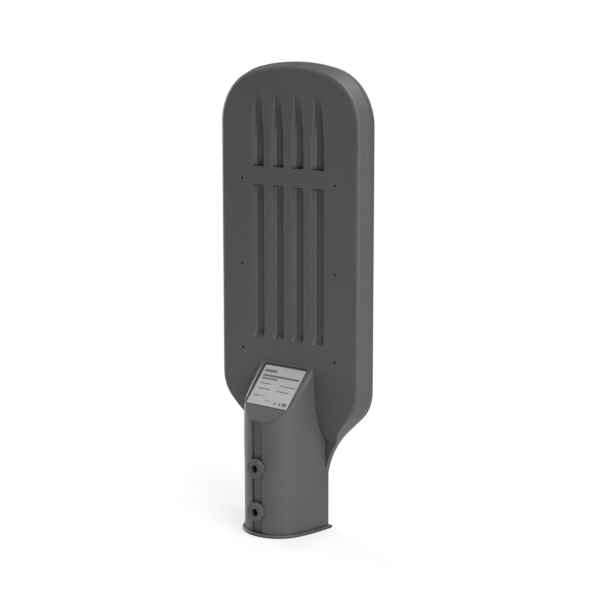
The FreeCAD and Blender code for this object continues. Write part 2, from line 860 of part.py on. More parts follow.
def inner_space():
    """Everything that the casting leaves open behind the front cover."""
    tray = head_slab(size.ledge_inset, tray_floor, ledge + 1, tray_low)
    rebate = head_slab(size.cover_inset - size.cover_gap, ledge, size.plate_front + 1, cover_low)
    for rib in groove_rows(groove_wrap):
        tray = tray.cut(rib)
    tray = tray.cut(behind_neck(float(ledge), -float(size.wall)))
    posts = []
    for hand in (-1, 1):
        for height in board_screw_heights:
            posts.append((hand * board_screw_half, height, size.board_boss_radius, board_back))
        posts.append((hand * driver_screw_half, driver_middle, size.stud_radius, stud_top))
    posts.append((earth_x, earth_z, size.stud_radius, stud_top))
    for x, z, radius, top in posts:
        tray = tray.cut(post(x, z, radius, top))
    sections = [d_section(height, half, size.socket_back, size.socket_front, float(size.dome_wall))
                for height, half in dome_stations()]
    behind = Part.makeBox(BEYOND, BEYOND, BEYOND, Vector(-BEYOND / 2, tray_floor + 1 - BEYOND, chamber_low))
    above = Part.makeBox(BEYOND, BEYOND, BEYOND, Vector(-BEYOND / 2, ledge - BEYOND, tray_low))
    dome = Part.makeLoft(sections, True, True).cut(above_ramp(float(size.dome_wall)))
    return [tray, rebate, dome.common(behind), dome.common(above)]


def casting():
    """The head before machining: one piece of cast metal."""
    shape = head_plate().fuse(socket_and_dome()).fuse(dome_skirt())
    shape = shape.cut(label_recess())
    for tool in groove_rows(groove):
        shape = shape.cut(tool)
    for tool in inner_space():
        shape = shape.cut(tool)
    return shape.removeSplitter()


def machining():
    """Bore, tapped holes and the gland's hole, as primitives tied to the sheet."""
    tools = [
        cylinder("bore", size.bore_radius, bore_depth, 0, 0, 0),
        prism("bore_relief", RING_SIDES, size.relief_radius, bulkhead_low, 0, 0, 0),
        prism("gland_hole", RING_SIDES, size.gland_thread_radius + size.hole_play, size.bulkhead + 2,
              0, -size.gland_back, bulkhead_low - 1),
    ]
    for number, height in enumerate(clamp_heights, start=1):
        tools.append(cylinder(f"clamp_hole_{number}", size.clamp_core_radius, size.boss_face,
                              0, -size.boss_face, height, TO_FRONT))
        tools.append(prism(f"clamp_mouth_{number}", MOUTH_SIDES, size.clamp_mouth_radius,
                           size.clamp_mouth_depth + 1, 0, -size.boss_face - 1, height, TO_FRONT))
    for hand in (-1, 1):
        for number, height in enumerate(board_screw_heights, start=1):
            tools.append(prism(f"board_hole_{number}", SMALL_SIDES, size.core_small,
                               board_back - size.plate_back + 2, hand * board_screw_half,
                               size.plate_back - 1, height, TO_FRONT))
        tools.append(prism("driver_hole", SMALL_SIDES, size.core_medium, size.stud_height + size.wall / 2,
                           hand * driver_screw_half, stud_top, driver_middle, TO_BACK))
    tools.append(prism("earth_hole", SMALL_SIDES, size.core_medium, size.stud_height + size.wall / 2,
                       earth_x, stud_top, earth_z, TO_BACK))
    for x, z in cover_screw_points():
        tools.append(prism("cover_hole", SMALL_SIDES, size.core_medium, size.cover_screw_reach + 1,
                           x, ledge, z, TO_BACK))
    return fused("machining", tools)


def make_housing():
    return cut("housing", feature("casting", casting()), machining())


# Front cover, its gasket and screws


def clearances(name, core, points, back, thick):
    """Clearance holes for screws through one layer."""
    radius = core + size.hole_play * 2
    return [prism(f"{name}_hole", SMALL_SIDES, radius, thick + 2, x, back - 1, z, TO_FRONT)
            for x, z in points]


def make_front_cover():
    blank = feature("cover_blank", head_slab(size.cover_inset, cover_back, size.plate_front,
                                             cover_low + size.cover_gap))
    window = plate_body("cover_window", -window_half, window_low, window_half, window_high,
                        cover_back - 1, size.cover_thick + 2, size.window_corner)
    holes = clearances("cover", size.core_medium, cover_screw_points(), cover_back, size.cover_thick)
    return cut("front_cover", blank, fused("cover_openings", [window] + holes))


def make_cover_gasket():
    """Flat seal on the casting's ledge, inside the line of the cover's screws."""
    outer = head_slab(size.gasket_inset, ledge, cover_back, cover_low + size.gasket_foot)
    inner = head_slab(size.ledge_inset - size.gasket_gap, ledge - 1, cover_back + 1,
                      tray_low - size.gasket_gap)
    return feature("cover_gasket", outer.cut(inner))


def make_cover_screws():
    length = size.cover_thick + size.gasket_thick + size.cover_screw_reach
    pattern = small_screw("cover_screw", size.head_medium_radius, size.head_medium_high, size.core_medium,
                          length)
    points = [(x, size.plate_front, z) for x, z in cover_screw_points()]
    return copies("cover_screws", pattern, points, TO_FRONT)


# Light source


def led_points():
    """Centres of the light sources, in columns and rows about the middle of the lens."""
    middle = (lens_low + lens_high) / 2
    points = []
    for column in range(LED_COLUMNS):
        for row in range(LED_ROWS):
            x = (column - (LED_COLUMNS - 1) / 2) * led_pitch_x
            z = middle + (row - (LED_ROWS - 1) / 2) * led_pitch_z
            points.append((x, z))
    return points


def board_screw_points():
    return [(hand * board_screw_half, height) for hand in (-1, 1) for height in board_screw_heights]


def make_thermal_pad():
    return box("thermal_pad", 2 * pad_half, size.pad_thick, slot_square - slot_full,
               -pad_half, seat, slot_full)


def make_led_board():
    blank = plate_body("board_blank", -board_half, board_low, board_half, board_high,
                             board_back, size.board_thick)
    holes = clearances("board", size.core_small, board_screw_points(), board_back, size.board_thick)
    return cut("led_board", blank, fused("board_holes", holes))


def make_board_screws():
    reach = board_front - size.plate_back - size.board_screw_tip
    pattern = small_screw("board_screw", size.head_small_radius, size.head_small_high, size.core_small, reach)
    points = [(x, board_front, z) for x, z in board_screw_points()]
    return copies("board_screws", pattern, points, TO_FRONT)


def make_led_packages():
    half = size.led_size / 2
    corners = [Vector(x - half, board_front, z - half) for x, z in led_points()]
    chips = [Part.makeBox(size.led_size, size.led_thick, size.led_size, corner) for corner in corners]
    return feature("led_packages", Part.makeCompound(chips))


def make_lens_plate():
    """Moulded lens plate: a sheet on a skirt, with one bulb of lens over each light source."""
    body = new_body("lens_sheet")
    skirt = new_sketch(body, "lens_skirt_outline", "XZ_Plane", -board_front)
    draw_rectangle(skirt, -lens_half, lens_low, lens_half, lens_high)
    inner = size.lens_skirt
    draw_rectangle(skirt, inner - lens_half, lens_low + inner,
                   lens_half - inner, lens_high - inner)
    pad(body, skirt, lens_back - board_front)
    top = new_sketch(body, "lens_sheet_outline", "XZ_Plane", -lens_back)
    draw_rectangle(top, -lens_half, lens_low, lens_half, lens_high)
    pad(body, top, size.lens_thick)
    doc.recompute()
    bulbs = lens_bulbs(lens_back + size.lens_thick)
    return fused("lens_plate", [body, feature("lens_bulbs", bulbs)])


def lens_bulbs(front):
    """Blunt bulbs that stand on the sheet."""
    bulbs = []
    for x, z in led_points():
        foot = ring_of_corners(x, front - size.lens_thick / 2, z, size.bulb_radius, SMALL_SIDES)
        top = ring_of_corners(x, front + size.bulb_height, z, size.bulb_top_radius, SMALL_SIDES)
        faces = [Part.Face(Part.makePolygon(ring)) for ring in (foot, top)]
        for low, next_low, next_high, high in zip(foot, foot[1:], top[1:], top):
            faces.append(Part.Face(Part.makePolygon([low, next_low, next_high, high, low])))
        bulbs.append(Part.makeSolid(Part.makeShell(faces)))
    return Part.makeCompound(bulbs)


def make_lens_gasket():
    """Flat seal between the lens plate's border and the back of the front cover."""
    body = new_body("lens_gasket")
    sketch = new_sketch(body, "lens_gasket_outline", "XZ_Plane", -(lens_back + size.lens_thick))
    draw_rectangle(sketch, -lens_half, lens_low, lens_half, lens_high)
    draw_rectangle(sketch, -window_half, window_low, window_half, window_high)
    pad(body, sketch, size.lens_gasket_thick)
    return body


def connector_entries():
    return [size.connector_x + hand * size.connector_pole / 2 for hand in (-1, 1)]


def make_board_connector():
    block = box("connector_block", size.connector_width, size.connector_high, size.connector_long,
                size.connector_x - size.connector_width / 2, board_front, board_low)
    entries = [prism("connector_entry", SMALL_SIDES, size.lead_radius + size.hole_play, size.lead_grip + 1,
                     x, board_front + size.connector_high / 2, board_low - 1) for x in connector_entries()]
    return cut("board_connector", block, fused("connector_entries", entries))


# Driver


def driver_output_points():
    """Where the two output leads leave the driver's upper end."""
    depth = (size.driver_front + ear_front) / 2
    return [(driver_half - step * size.connector_pole, depth) for step in (2, 1)]


def driver_screw_points():
    return [(hand * driver_screw_half, driver_middle) for hand in (-1, 1)]


def driver_input_heights():
    upper = driver_high - size.driver_exit_drop
    return [upper, upper - size.driver_exit_pitch]


def make_driver_case():
    """Open case with two ears; the ears stand on studs of the casting."""
    body = new_body("driver_shell")
    outline = new_sketch(body, "driver_outline", "XZ_Plane", -size.driver_back)
    draw_rectangle(outline, -driver_half, driver_low, driver_half, driver_high)
    pad(body, outline, size.driver_front - size.driver_back)
    ears = new_sketch(body, "driver_ears", "XZ_Plane", -stud_top)
    draw_rectangle(ears, -driver_ear_half, driver_middle - size.driver_ear_width / 2,
                   driver_ear_half, driver_middle + size.driver_ear_width / 2)
    pad(body, ears, size.driver_ear_thick)
    wall = size.driver_wall
    hollow = new_sketch(body, "driver_hollow", "XZ_Plane", -(size.driver_back + wall))
    draw_rectangle(hollow, wall - driver_half, driver_low + wall,
                   driver_half - wall, driver_high - wall)
    pocket(body, hollow, size.driver_front - size.driver_back)
    radius = size.lead_radius + size.hole_play
    tools = clearances("ear", size.core_medium, driver_screw_points(), stud_top, size.driver_ear_thick)
    for x, y in driver_output_points():
        tools.append(prism("output_exit", SMALL_SIDES, radius, wall * 2, x, y, driver_high - wall * 1.5))
    depth = driver_output_points()[0][1]
    for z in driver_input_heights():
        tools.append(prism("input_exit", SMALL_SIDES, radius, wall * 2, driver_half - wall * 1.5,
                           depth, z, TO_RIGHT))
    return cut("driver_case", body, fused("driver_openings", tools))


def make_driver_lid():
    return plate_body("driver_lid", -driver_half, driver_low, driver_half, driver_high,
                      size.driver_front, size.driver_wall)


def circuit_back():
    return size.driver_back + size.driver_wall + size.circuit_lift


def make_driver_circuit():
    edge = size.driver_wall + size.circuit_gap
    return plate_body("driver_circuit", edge - driver_half, driver_low + edge,
                      driver_half - edge, driver_high - edge, circuit_back(), size.circuit_thick)


def make_driver_transformer():
    front = circuit_back() + size.circuit_thick
    return box("driver_transformer", size.transformer_width, size.transformer_high, size.transformer_long,
               -size.transformer_width / 2, front, driver_middle - size.transformer_long / 2)


def make_driver_capacitor():
    front = circuit_back() + size.circuit_thick
    return prism("driver_capacitor", RING_SIDES, size.capacitor_radius, size.capacitor_high,
                 size.capacitor_radius * 2 - driver_half, front, driver_middle, TO_FRONT)


def make_driver_screws():
    length = size.driver_ear_thick + size.stud_height + size.wall / 4
    pattern = small_screw("driver_screw", size.head_medium_radius, size.head_medium_high, size.core_medium,
                          length)
    points = [(x, ear_front, z) for x, z in driver_screw_points()]
    return copies("driver_screws", pattern, points, TO_FRONT)


# Terminal block and earth point


def pole_heights():
    return [terminal_low + (pole + 0.5) * size.terminal_pitch for pole in range(3)]


def terminal_screw_places():
    return [terminal_left + size.terminal_width * share for share in (0.25, 0.75)]


def entry_depth():
    return tray_floor + size.terminal_high / 2


def make_terminal_block():
    block = box("terminal_body", size.terminal_width, size.terminal_high, 3 * size.terminal_pitch,
                terminal_left, tray_floor, terminal_low)
    tools = []
    for z in pole_heights():
        tools.append(prism("terminal_entry", SMALL_SIDES, size.terminal_entry_radius, size.terminal_width + 2,
                           terminal_left - 1, entry_depth(), z, TO_RIGHT))
        for x in terminal_screw_places():
            tools.append(prism("terminal_well", SMALL_SIDES, size.terminal_well_radius,
                               size.terminal_well_depth + 1, x, tray_floor + size.terminal_high + 1, z,
                               TO_BACK))
    return cut("terminal_block", block, fused("terminal_openings", tools))


def make_terminal_screws():
    """Clamping screws, down in the wells of the terminal block."""
    foot = tray_floor + size.terminal_high - size.terminal_well_depth
    pattern = prism("terminal_screw", SMALL_SIDES, size.terminal_well_radius - size.hole_play,
                    size.terminal_screw_high, 0, 0, 0)
    points = [(x, foot, z) for z in pole_heights() for x in terminal_screw_places()]
    return copies("terminal_screws", pattern, points, TO_FRONT)


def earth_layers():
    """Depths at which the lug, the washer and the screw's head start."""
    washer = stud_top + size.earth_lug_thick
    return stud_top, washer, washer + size.earth_washer_thick


def make_earth_lug():
    """Ring lug with a tail that grips the earth lead."""
    back = earth_layers()[0]
    ring = prism("lug_ring", RING_SIDES, size.stud_radius, size.earth_lug_thick, earth_x, back, earth_z,
                 TO_FRONT)
    tail = box("lug_tail", size.earth_tail_long, size.earth_lug_thick, size.earth_tail_width,
               earth_x, back, earth_z - size.earth_tail_width / 2)
    hole = prism("lug_hole", SMALL_SIDES, size.core_medium + size.hole_play, size.earth_lug_thick * 3,
                 earth_x, back - size.earth_lug_thick, earth_z, TO_FRONT)
    return cut("earth_lug", fused("lug_blank", [ring, tail]), hole)


def make_earth_washer():
    back = earth_layers()[1]
    ring = prism("washer_ring", RING_SIDES, size.head_medium_radius + size.hole_play * 2,
                 size.earth_washer_thick, earth_x, back, earth_z, TO_FRONT)
    hole = prism("washer_hole", SMALL_SIDES, size.core_medium + size.hole_play, size.earth_washer_thick * 3,
                 earth_x, back - size.earth_washer_thick, earth_z, TO_FRONT)
    return cut("earth_washer", ring, hole)


def make_earth_screw():
    length = size.earth_lug_thick + size.earth_washer_thick + size.stud_height + size.wall / 4
    screw = small_screw("earth_screw", size.head_medium_radius, size.head_medium_high, size.core_medium,
                        length)
    place(screw, earth_x, earth_layers()[2], earth_z, TO_FRONT)
    return screw


# Cable gland


def gland_ring(name, radius, height, z, sides=RING_SIDES):
    return prism(name, sides, radius, height, 0, -size.gland_back, z)


def make_gland_body():
    """Threaded stub through the bulkhead, hexagon above it and a neck for the cap."""
    below = bulkhead_low - size.locknut_high - 1
    neck_low = chamber_low + size.gland_hex_high
    seal = size.gland_seal_thick + size.gland_seal_play
    blank = fused("gland_blank", [
        gland_ring("gland_stub", size.gland_thread_radius, chamber_low - below, below),
        gland_ring("gland_hexagon", size.gland_hex_radius, size.gland_hex_high, chamber_low, 6),
        gland_ring("gland_neck", size.gland_thread_radius, size.gland_neck_high, neck_low),
    ])
    ways = fused("gland_ways", [
        gland_ring("gland_way", size.gland_cable_radius, chamber_low, below - 1),
        gland_ring("gland_seat", size.gland_cable_radius + seal, chamber_low, neck_low),
    ])
    return cut("gland_body", blank, ways)


def make_gland_seal():
    foot = chamber_low + size.gland_hex_high
    ring = gland_ring("seal_ring", size.gland_cable_radius + size.gland_seal_thick,
                      size.gland_neck_high - size.gland_seal_drop, foot)
    way = gland_ring("seal_way", size.gland_cable_radius - size.gland_seal_grip, size.gland_neck_high + 2,
                     foot - 1)
    return cut("gland_seal", ring, way)


def make_gland_cap():
    """Hexagonal cap over the neck, open for the cable."""
    foot = chamber_low + size.gland_hex_high + size.gland_cap_gap
    outer = size.gland_thread_radius + size.thread_play
    blank = fused("cap_blank", [
        gland_ring("cap_hexagon", size.gland_hex_radius, size.gland_cap_straight, foot, 6),
        gland_ring("cap_top", size.gland_thread_radius + size.gland_cap_wall, size.gland_cap_high, foot),
    ])
    ways = fused("cap_ways", [
        gland_ring("cap_thread", outer, size.gland_neck_high, foot),
        gland_ring("cap_way", size.gland_cable_radius, size.gland_cap_high + 2, foot - 1),
    ])
    return cut("gland_cap", blank, ways)


def make_gland_locknut():
    low = bulkhead_low - size.locknut_high
    nut = gland_ring("locknut_blank", size.gland_hex_radius, size.locknut_high, low, 6)
    way = gland_ring("locknut_way", size.gland_thread_radius + size.thread_play, size.locknut_high + 2,
                     low - 1)
    return cut("gland_locknut", nut, way)


# Label and leads


def make_rating_label():
    label = doc.addObject("Part::Box", "rating_label")
    bind(label, "Length", size.label_width)
    bind(label, "Width", size.label_height)
    bind(label, "Height", size.label_thick)
    frame = ramp_frame(size.label_drop, -size.recess_depth)
    corner = Vector(-size.label_width / 2, -size.label_height, 0)
    label.Placement = Placement(frame.multVec(corner), frame.Rotation)
    return label


def lead(name, points):
    """A lead along straight runs, mitred where they meet."""
    route = [Vector(*point) for point in points]
    direction = (route[1] - route[0]).normalize()
    ring = Part.makePolygon(ring_of_corners(0, 0, 0, size.lead_radius, SMALL_SIDES))
    ring.Placement = Placement(route[0], Rotation(Vector(0, 1, 0), direction))
    tube = Part.makePolygon(route).makePipeShell([ring], True, False, 1)
    return feature(name, tube)


def make_output_leads():
    """Two leads from the driver's upper end to the connector on the board."""
    leads = []
    entry_y = board_front + size.connector_high / 2
    for name, (x, y), end_x in zip(("output_lead_red", "output_lead_black"), driver_output_points(),
                                   connector_entries()):
        rise = board_low - driver_high
        leads.append(lead(name, [
            (x, y, driver_high - size.driver_wall),
            (x, y, driver_high + rise * 0.3),
            (end_x, entry_y, driver_high + rise * 0.7),
            (end_x, entry_y, board_low + size.lead_grip * 0.8),
        ]))
    return leads


def make_input_leads():
    """Two leads from the driver's side to the first poles of the terminal block."""
    leads = []
    y = driver_output_points()[0][1]
    gap = terminal_left - driver_half
    for name, start_z, end_z in zip(("input_lead_blue", "input_lead_brown"), driver_input_heights(),
                                    (pole_heights()[1], pole_heights()[0])):
        leads.append(lead(name, [
            (driver_half - size.driver_wall, y, start_z),
            (driver_half + gap * 0.3, y, start_z),
            (terminal_left - gap * 0.3, entry_depth(), end_z),
            (terminal_left + size.lead_grip, entry_depth(), end_z),
        ]))
    return leads


def make_earth_lead():
    """Lead from the third pole of the terminal block across to the earth lug."""
    low = stud_top + size.earth_lug_thick + size.lead_radius + size.thread_play
    third = pole_heights()[2]
    tail = earth_x + size.earth_tail_long
    high = board_low - size.earth_lead_low
    bend = size.earth_lead_bend
    return lead("earth_lead", [
        (terminal_left + size.lead_grip, entry_depth(), third),
        (terminal_left - bend, entry_depth(), third),
        (terminal_left - bend - size.earth_lead_slope, low, high),
        (tail + bend + size.earth_lead_slope, low, high - 1),
        (tail + bend, low, earth_z),
        (tail - size.lead_grip, low, earth_z),
    ])


def all_pieces():
    pieces = [
        make_housing(),
        make_front_cover(),
        make_cover_gasket(),
        make_cover_screws(),
        make_thermal_pad(),
        make_led_board(),
        make_led_packages(),
        make_board_screws(),
        make_board_connector(),
        make_lens_plate(),
        make_lens_gasket(),
        make_driver_case(),
        make_driver_lid(),
        make_driver_circuit(),
        make_driver_transformer(),
        make_driver_capacitor(),
        make_driver_screws(),
        make_terminal_block(),
        make_terminal_screws(),
        make_earth_lug(),
        make_earth_washer(),
        make_earth_screw(),
        make_gland_body(),
        make_gland_seal(),
        make_gland_cap(),
        make_gland_locknut(),
        make_rating_label(),
        make_earth_lead(),
    ]
    return pieces + make_output_leads() + make_input_leads()


def check_and_write(pieces):
    doc.recompute()
    for item in doc.Objects:
        if "Invalid" in item.State or "Error" in item.State:
            raise RuntimeError(f"{item.Name} failed: {item.State}")
    for piece in pieces:
        if piece.Shape.isNull() or not piece.Shape.isValid() or not piece.Shape.Solids:
            raise RuntimeError(f"{piece.Name} has no valid solid")
    os.makedirs("parts", exist_ok=True)
    for piece in pieces:
        piece.Shape.exportStep(f"parts/{piece.Label}.step")
        print(f"{piece.Label}: {len(piece.Shape.Solids)} solids, {piece.Shape.Volume / 1000:.2f} cm3")


check_and_write(all_pieces())
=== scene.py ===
import math

import bmesh
import bpy
from mathutils import Matrix, Vector


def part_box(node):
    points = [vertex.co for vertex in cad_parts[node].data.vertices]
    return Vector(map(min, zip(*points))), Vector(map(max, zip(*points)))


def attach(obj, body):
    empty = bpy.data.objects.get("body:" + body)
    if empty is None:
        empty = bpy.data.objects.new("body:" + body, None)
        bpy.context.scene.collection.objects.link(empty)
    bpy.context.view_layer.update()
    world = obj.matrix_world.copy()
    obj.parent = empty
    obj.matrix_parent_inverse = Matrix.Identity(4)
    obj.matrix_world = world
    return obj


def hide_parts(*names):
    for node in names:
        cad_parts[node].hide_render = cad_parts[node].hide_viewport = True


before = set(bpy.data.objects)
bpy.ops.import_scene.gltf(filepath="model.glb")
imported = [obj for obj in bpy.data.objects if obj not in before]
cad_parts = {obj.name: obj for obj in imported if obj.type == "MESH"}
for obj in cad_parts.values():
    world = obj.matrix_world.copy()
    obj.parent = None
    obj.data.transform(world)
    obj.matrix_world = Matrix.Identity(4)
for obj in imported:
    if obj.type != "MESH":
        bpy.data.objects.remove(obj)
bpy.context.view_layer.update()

# Lengths are in metres and angles in degrees

MM = 0.001
JOIN = 0.002 * MM
SMOOTH_BELOW = 40

# Coat of the casting and the front cover

COAT_DARK = (0.062, 0.062, 0.063)
COAT_LIGHT = (0.074, 0.074, 0.075)
COAT_SPECK = (0.098, 0.098, 0.099)
# Paler tone mixed into the coat on surfaces that face up
COAT_PALE_UP = (0.150, 0.149, 0.146)
COAT_GRAIN = 0.55 * MM
COAT_WAVES = 9 * MM
COAT_CLOUDS = 80 * MM
COAT_TEXTURE = 0.05 * MM
# How much of that paler tone faces up, least and in clouds
PALE_UP_LEAST = 0.04
PALE_UP_CLOUDS = 0.1
# Painted shade in corners: the coat's colour is darkened where ambient occlusion within this reach finds
# little open sky
CORNER_REACH = 4 * MM
CORNER_SAMPLES = 12
# Share of the coat's colour left in the deepest corners, as painted shade
CORNER_PAINTED_SHADE = 0.15
EDGE_RADIUS = 0.8 * MM
EDGE_SAMPLES = 6

# Other colours, all linear

WHITE = (1.0, 1.0, 1.0)
FOIL_DARK = (0.47, 0.47, 0.47)
FOIL_LIGHT = (0.56, 0.56, 0.56)
PRINT_GREY = (0.16, 0.16, 0.16)
STEEL = (0.58, 0.57, 0.55)
BRASS = (0.62, 0.47, 0.22)
# Near black thread in the clamp holes, as painted shade in the holes
THREAD_PAINTED_SHADE = (0.03, 0.03, 0.03)
LENS_TINT = (0.93, 0.96, 0.97)
LENS_CLEAR = (0.98, 0.99, 0.99)
MASK_DULL = (0.80, 0.81, 0.80)
MASK_WHITE = (0.86, 0.86, 0.85)
MASK_COPPER = (0.66, 0.62, 0.52)
SOURCE_WHITE = (0.85, 0.85, 0.83)
PHOSPHOR_DEEP = (0.82, 0.62, 0.12)
PHOSPHOR_PALE = (0.90, 0.72, 0.20)
LEAD_GREEN = (0.05, 0.30, 0.06)
LEAD_YELLOW = (0.75, 0.60, 0.05)
FLOOR_DULL = (0.80, 0.80, 0.80)
FLOOR_PALE = (0.84, 0.84, 0.84)

# Stage; the camera sees the floor whiter the further it is from the foot of the object

FLOOR_NEAR = 0.62
FLOOR_FAR = 1.0
FLOOR_NEAR_REACH = 0.2
FLOOR_FAR_REACH = 0.9
FLOOR_REACH = 3.0
WORLD_LEVEL = 0.04
AIM = Vector((0, 0, 0.22))
LIGHT_AWAY = 1.7
LIGHT_SIZE = 0.8
# Name, bearing from the grooved back towards +X, height above the horizon, power in watts
LIGHTS = (
    ("light_left", -98, 12, 30.0),
    ("light_right", 62, 12, 14.4),
    ("light_high", 82, 70, 29.0),
    ("light_front", 195, 14, 17.0),
)

# Light sources, their packages and the phosphor in them

LED_COLUMNS = 4
LED_ROWS = 8
LED_PITCH_X = 24 * MM
LED_PITCH_Z = 20 * MM
LED_MIDDLE = 262 * MM
LED_SIDES = 24
# Shares of half a package's width
OPENING_RIM = 0.8
OPENING_FOOT = 0.72
PHOSPHOR_CROWN = 0.4
# Depths under a package's front
OPENING_DEPTH = 0.3 * MM
PHOSPHOR_FOOT = 0.25 * MM
PHOSPHOR_EDGE = 0.16 * MM
PHOSPHOR_MIDDLE = 0.13 * MM

# Lens plate

DOME_SIDES = 32
DOME_RADIUS = 8 * MM
DOME_RISE = 5 * MM
DOME_STEPS = 7
HOLLOW_RADIUS = 3.4 * MM
HOLLOW_RISE = 2.6 * MM
HOLLOW_STEPS = 4
LENS_THICK = 2 * MM
LENS_SKIRT = 2 * MM
CELL_DIGITS = 9
BORDER_DIGITS = 6
TINY = 1e-9

# Cover screws

SCREW_SIDES = 48
SCREW_HEAD = 4 * MM
SCREW_SHANK = 1.6 * MM
SOCKET_MOUTH = 1.68 * MM
SOCKET_HALF = 1.305 * MM
SOCKET_CHAMFER = 0.1 * MM
SOCKET_SHARE = 0.6
# Shares of the head's radius and height, from its seat up
HEAD_PROFILE = ((1.0, 0.0), (1.0, 0.45), (0.93, 0.75), (0.76, 0.94), (0.55, 1.0))

# Threads of the clamp holes; a ridge's profile is radius and share of the pitch

CLAMP_HEIGHTS = (("low", 24.2 * MM), ("high", 67.7 * MM))
CLAMP_CORE = 3.42 * MM
CLAMP_CREST = 3.1 * MM
THREAD_START = -34.3 * MM
THREAD_PITCH = 1.25 * MM
THREAD_TURNS = 6
THREAD_SIDES = 36
# Each ridge spans nearly the whole pitch, so the near black thread covers the hole's wall as painted shade
THREAD_PROFILE = ((CLAMP_CORE, 0.0), (CLAMP_CREST, 0.45), (CLAMP_CREST, 0.53), (CLAMP_CORE, 0.98))

# Grooves of the back, as in the casting

PLATE_BACK = 14.5 * MM
GROOVES = 4
GROOVE_PITCH = 25 * MM
GROOVE_HALF = 7.6 * MM
GROOVE_DEPTH = 5 * MM
GROOVE_DRAFT = 14
GROOVE_BEVEL = 1.2 * MM
GROOVE_RUN = 38 * MM
GROOVE_TIP = 427 * MM

# Pointed upper ends of the top grooves

TIP_LONG = 45 * MM
TIP_OVER = -0.4 * MM
TIP_START = 0.02 * MM
TIP_POWER = 0.38
TIP_STEPS = 20
TIP_CROWDING = 1.5
TIP_SINK = 0.3 * MM
TIP_LAP = 0.05 * MM
TIP_PROUD = 0.01 * MM

# Label

LABEL_THICK = 0.3 * MM
LABEL_NEAR = 0.01 * MM
MARK_LIFTS = (-0.02 * MM, 0.03 * MM)
# Left, low, right and high of each bar, as shares of the label
LABEL_BARS = (
    (0.05, 0.83, 0.35, 0.90),
    (0.06, 0.715, 0.95, 0.77),
    (0.06, 0.645, 0.44, 0.69),
    (0.08, 0.525, 0.36, 0.55), (0.57, 0.525, 0.95, 0.55),
    (0.09, 0.39, 0.39, 0.415), (0.56, 0.38, 0.87, 0.405),
    (0.07, 0.225, 0.35, 0.24), (0.07, 0.195, 0.22, 0.21),
    (0.38, 0.13, 0.60, 0.142), (0.41, 0.095, 0.57, 0.107),
    (0.64, 0.06, 0.70, 0.12), (0.76, 0.05, 0.81, 0.13), (0.84, 0.05, 0.95, 0.14),
)

# Camera, at the viewing angle of the photograph; the sensor's width is in millimetres

CAMERA_PLACE = Vector((1.0388, -1.2025, 0.5106))
CAMERA_AHEAD = Vector((-0.63357, 0.75366, -0.1749))
CAMERA_UP = Vector((-0.11199, 0.13434, 0.98459))
FOCAL_PIXELS = 1675.9
IMAGE_PIXELS = 600
SENSOR = 36.0


# Shader maths: operators on a node's output add the nodes that work it out


class Level:
    """A number, colour or vector that varies over a surface."""

    def __init__(self, graph, socket):
        self.graph = graph
        self.socket = socket

    def __add__(self, other):
        return self.graph.maths("ADD", self, other)

    def __sub__(self, other):
        return self.graph.maths("SUBTRACT", self, other)

    def __rsub__(self, other):
        return self.graph.maths("SUBTRACT", other, self)

    def __mul__(self, other):
        return self.graph.maths("MULTIPLY", self, other)

    def __truediv__(self, other):
        return self.graph.maths("DIVIDE", self, other)

    __radd__ = __add__
    __rmul__ = __mul__


class Graph:
    """The shader nodes of one material or of the world."""

    def __init__(self, owner):
        owner.use_nodes = True
        self.tree = owner.node_tree

    def put(self, socket, value):
        """Link a level to a socket, or set a plain value on it."""
        if isinstance(value, Level):
            self.tree.links.new(value.socket, socket)
        elif socket.type == "RGBA":
            socket.default_value = (*value[:3], 1.0)
        else:
            socket.default_value = value

    def fill(self, node, **inputs):
        """Fill a node's sockets, each named with _ for a space or by _ and its number."""
        for name, value in inputs.items():
            key = int(name[1:]) if name[1:].isdigit() else name.replace("_", " ")
            self.put(node.inputs[key], value)

    def node(self, kind, settings=None, output=0, **inputs):
        """Add a node, set it up, fill its sockets and give back one of its outputs."""
        made = self.tree.nodes.new(kind)
        for name, value in (settings or {}).items():
            setattr(made, name, value)
        self.fill(made, **inputs)
        return Level(self, made.outputs[output])

    def maths(self, operation, first, second=0.0):
        return self.node("ShaderNodeMath", {"operation": operation}, _0=first, _1=second)


class Finish(Graph):
    """One procedural material on the principled shader."""

    def __init__(self, name, **plain):
        self.material = bpy.data.materials.new(name)
        super().__init__(self.material)
        self.shader = self.tree.nodes["Principled BSDF"]
        self.spot = self.node("ShaderNodeTexCoord", output="Object")
        self.wear(**plain)

    def wear(self, **inputs):
        """Fill sockets of the principled shader."""
        self.fill(self.shader, **inputs)

    def noise(self, size, detail=2.0, rough=0.5, spot=None):
        """Noise between 0 and 1 whose lumps are about size metres across."""
        return self.node("ShaderNodeTexNoise", Vector=spot or self.spot, Scale=1 / size,
                         Detail=detail, Roughness=rough)

    def axis(self, letter, spot=None):
        """One coordinate of a place on the object, in metres, or of another vector."""
        return self.node("ShaderNodeSeparateXYZ", output=letter, Vector=spot or self.spot)

    def ease(self, value, start, end):
        """0 at start, 1 at end, smooth between; start may be the higher of the two."""
        return self.node("ShaderNodeMapRange", {"interpolation_type": "SMOOTHSTEP"},
                         Value=value, From_Min=start, From_Max=end)

    def blend(self, share, first, second):
        """One colour where share is 0, the other where it is 1."""
        return self.node("ShaderNodeMix", {"data_type": "RGBA"}, output=2, _0=share, _6=first, _7=second)

    def bend(self, share, first, second):
        """One vector where share is 0, the other where it is 1."""
        return self.node("ShaderNodeMix", {"data_type": "VECTOR"}, output=1, _0=share, _4=first, _5=second)

    def bump(self, height, distance, **under):
        """Raise the surface by height, where height 1 is distance metres."""
        self.wear(Normal=self.node("ShaderNodeBump", Height=height, Distance=distance, **under))


# Finishes


